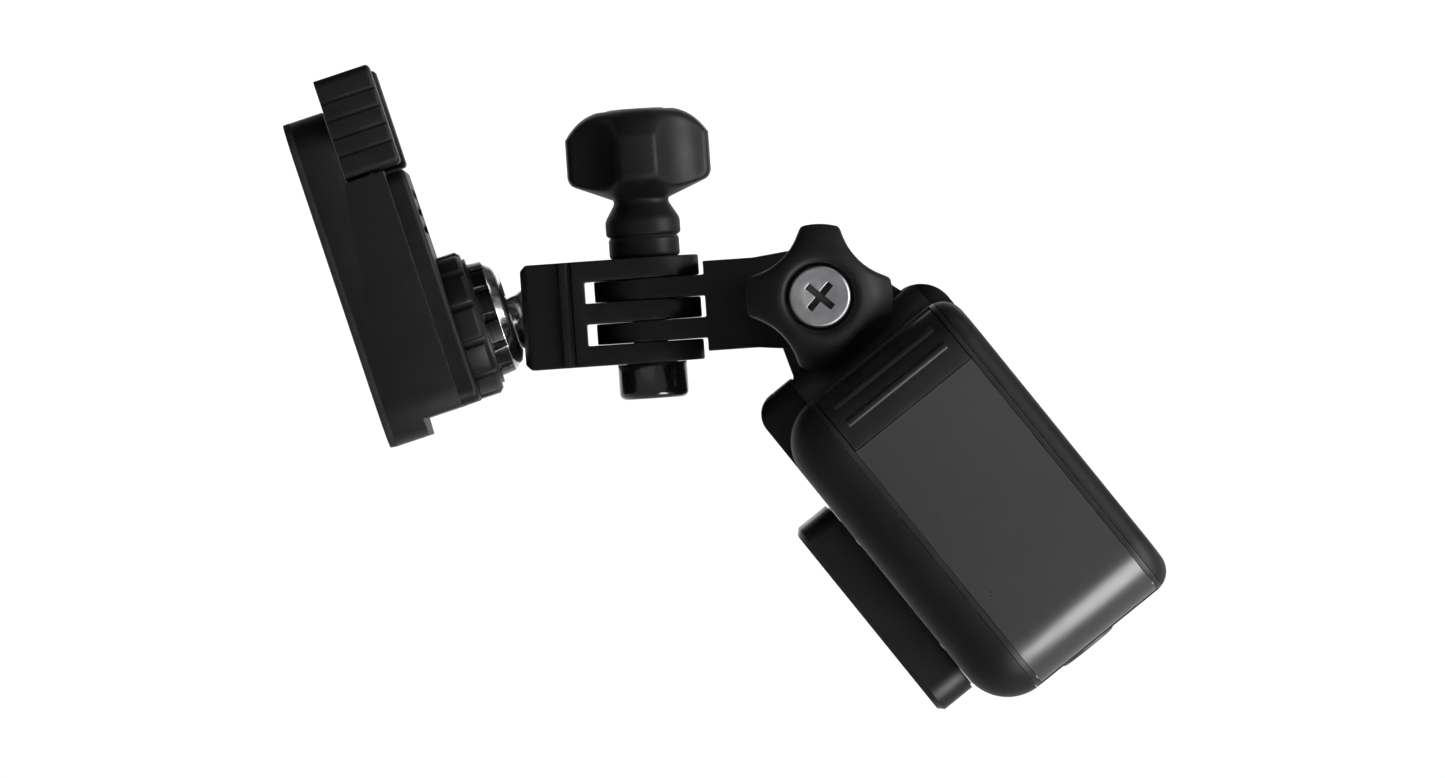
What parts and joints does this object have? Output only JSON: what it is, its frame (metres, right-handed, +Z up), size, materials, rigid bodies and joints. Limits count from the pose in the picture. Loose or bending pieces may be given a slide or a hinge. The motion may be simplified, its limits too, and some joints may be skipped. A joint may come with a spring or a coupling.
{
  "type": "action camera on a swivel mount",
  "caption": "Small action camera with a side door and a square lens cover, hung by folding fingers from a linked swivel arm and ball-joint buckle on an adhesive base.",
  "frame": {"origin": "centre of the adhesive face that sticks to the helmet shell", "axes": "+Z up as worn, +X forward away from the helmet, +Y to the wearer's left; the adhesive face leans back 18.5 degrees"},
  "size_m": [0.1237, 0.0715, 0.091],
  "materials": {
    "adhesive_foam": "light grey foam tape with a slightly furry cut edge",
    "mount_plastic": "black moulded nylon, fine spark-eroded texture",
    "turret_plastic": "black acetal, smoother than the base",
    "ball_steel": "polished steel",
    "bolt_steel": "bright zinc-plated steel with a cross recess",
    "cap_nut_black": "black gloss cap",
    "knob_plastic": "black moulded knob, satin",
    "body_rubber": "soft-touch black over-moulding",
    "chassis_plastic": "dark grey glass-filled plastic",
    "door_plastic": "smooth dark grey satin door",
    "latch_plastic": "black latch",
    "lens_cover_black": "black ring, satin",
    "clear_glass": "coated cover glass",
    "screen_glass": "black screen glass",
    "display_panel": "display panel",
    "lens_black": "black anodised barrel",
    "optical_glass": "coated lens glass",
    "board_green": "green circuit board",
    "chip_black": "chip package",
    "spreader_copper": "copper spreader",
    "battery_wrap": "battery case",
    "tray_plastic": "tray",
    "connector_steel": "stamped steel",
    "seal_rubber": "door seal",
    "button_plastic": "button cap",
    "light_lens": "red light window",
    "pin_steel": "pins, magnets and small screws"
  },
  "bodies": {
    "base": {"adhesive_pad": "adhesive_foam", "base_plate": "mount_plastic"},
    "buckle": {"buckle_frame": "mount_plastic", "swivel_screw": "pin_steel", "swivel_washer": "pin_steel"},
    "latch_left": {"latch_prong_left": "mount_plastic"},
    "latch_right": {"latch_prong_right": "mount_plastic"},
    "turret": {"swivel_turret": "turret_plastic", "socket_collar": "ball_steel"},
    "inner_arm": {"ball_stud": "ball_steel", "inner_arm": "mount_plastic", "pan_nut": "cap_nut_black"},
    "pan_screw": {"pan_knob": "knob_plastic", "pan_bolt": "bolt_steel"},
    "outer_arm": {"outer_arm": "mount_plastic", "tilt_nut": "cap_nut_black"},
    "tilt_screw": {"tilt_knob": "knob_plastic", "tilt_bolt": "bolt_steel"},
    "camera": {"front_shell": "body_rubber", "rear_bezel": "body_rubber", "chassis": "chassis_plastic", "finger_cradle": "chassis_plastic", "folding_finger_left": "chassis_plastic", "folding_finger_right": "chassis_plastic", "folding_pins": "pin_steel", "finger_magnets": "pin_steel", "door_hinge_pin": "pin_steel", "lens_barrel": "lens_black", "lens_elements": "optical_glass", "sensor_board": "board_green", "rear_screen_glass": "screen_glass", "rear_display_panel": "display_panel", "front_screen_glass": "screen_glass", "front_display_panel": "display_panel", "main_board": "board_green", "board_chips": "chip_black", "heat_spreader": "spreader_copper", "battery": "battery_wrap", "battery_tray": "tray_plastic", "usb_port": "connector_steel", "card_slot": "connector_steel", "memory_card": "chip_black", "speaker": "chip_black", "microphone": "chip_black", "status_light_front": "light_lens", "status_light_rear": "light_lens", "button_switches": "connector_steel", "case_screws": "pin_steel"},
    "shutter": {"shutter_button": "button_plastic"},
    "mode": {"mode_button": "button_plastic"},
    "door": {"side_door": "door_plastic", "door_seal": "seal_rubber"},
    "latch": {"door_latch": "latch_plastic"},
    "lens_cover": {"lens_cover_frame": "lens_cover_black", "lens_cover_glass": "clear_glass"}
  },
  "joints": [
    {"name": "buckle_slide", "type": "slide", "parent": "base", "child": "buckle", "axis": [-0.3173, 0, 0.9483], "range_m": [0, 0.03], "deforming": ["latch_prong_left", "latch_prong_right"]},
    {"name": "latch_left_squeeze", "type": "hinge", "parent": "buckle", "child": "latch_left", "pos_m": [0.00981, 0.0126, -0.0041], "axis": [0.9483, 0, 0.3173], "range_deg": [0, 4.5], "stiffness_Nm_per_rad": 0.6},
    {"name": "latch_right_squeeze", "type": "hinge", "parent": "buckle", "child": "latch_right", "pos_m": [0.00981, -0.0126, -0.0041], "axis": [-0.9483, 0, -0.3173], "range_deg": [0, 4.5], "stiffness_Nm_per_rad": 0.6},
    {"name": "turret_swivel", "type": "hinge", "parent": "buckle", "child": "turret", "pos_m": [0.01977, 0, -0.00488], "axis": [0.9483, 0, 0.3173], "continuous": true},
    {"name": "ball_tilt", "type": "hinge", "parent": "turret", "child": "inner_arm", "pos_m": [0.01977, 0, -0.00488], "axis": [0, -1, 0], "range_deg": [-1.5, 30.5]},
    {"name": "pan_screw_turn", "type": "hinge", "parent": "inner_arm", "child": "pan_screw", "pos_m": [0.04381, 0, -0.0032], "axis": [-0.0698, 0, 0.9976], "continuous": true},
    {"name": "arm_pan", "type": "hinge", "parent": "inner_arm", "child": "outer_arm", "pos_m": [0.04381, 0, -0.0032], "axis": [-0.0698, 0, 0.9976], "range_deg": [-90, 90]},
    {"name": "tilt_screw_turn", "type": "hinge", "parent": "outer_arm", "child": "tilt_screw", "pos_m": [0.06785, 0, -0.00152], "axis": [0, -1, 0], "continuous": true},
    {"name": "camera_tilt", "type": "hinge", "parent": "outer_arm", "child": "camera", "pos_m": [0.06785, 0, -0.00152], "axis": [0, 1, 0], "range_deg": [-135, 15]},
    {"name": "shutter_press", "type": "slide", "parent": "camera", "child": "shutter", "axis": [-0.6293, 0, 0.7771], "range_m": [0, 0.0005], "stiffness_N_per_m": 1500},
    {"name": "mode_press", "type": "slide", "parent": "camera", "child": "mode", "axis": [0, -1, 0], "range_m": [0, 0.0005], "stiffness_N_per_m": 1500},
    {"name": "door_hinge", "type": "hinge", "parent": "camera", "child": "door", "pos_m": [0.10592, -0.0296, -0.04773], "axis": [0.7771, 0, 0.6293], "range_deg": [0, 90]},
    {"name": "door_latch_slide", "type": "slide", "parent": "door", "child": "latch", "axis": [-0.6293, 0, 0.7771], "range_m": [0, 0.0015], "stiffness_N_per_m": 400},
    {"name": "lens_cover_twist", "type": "hinge", "parent": "camera", "child": "lens_cover", "pos_m": [0.07923, 0.0148, -0.04416], "axis": [-0.7771, 0, -0.6293], "range_deg": [0, 45]}
  ]
}
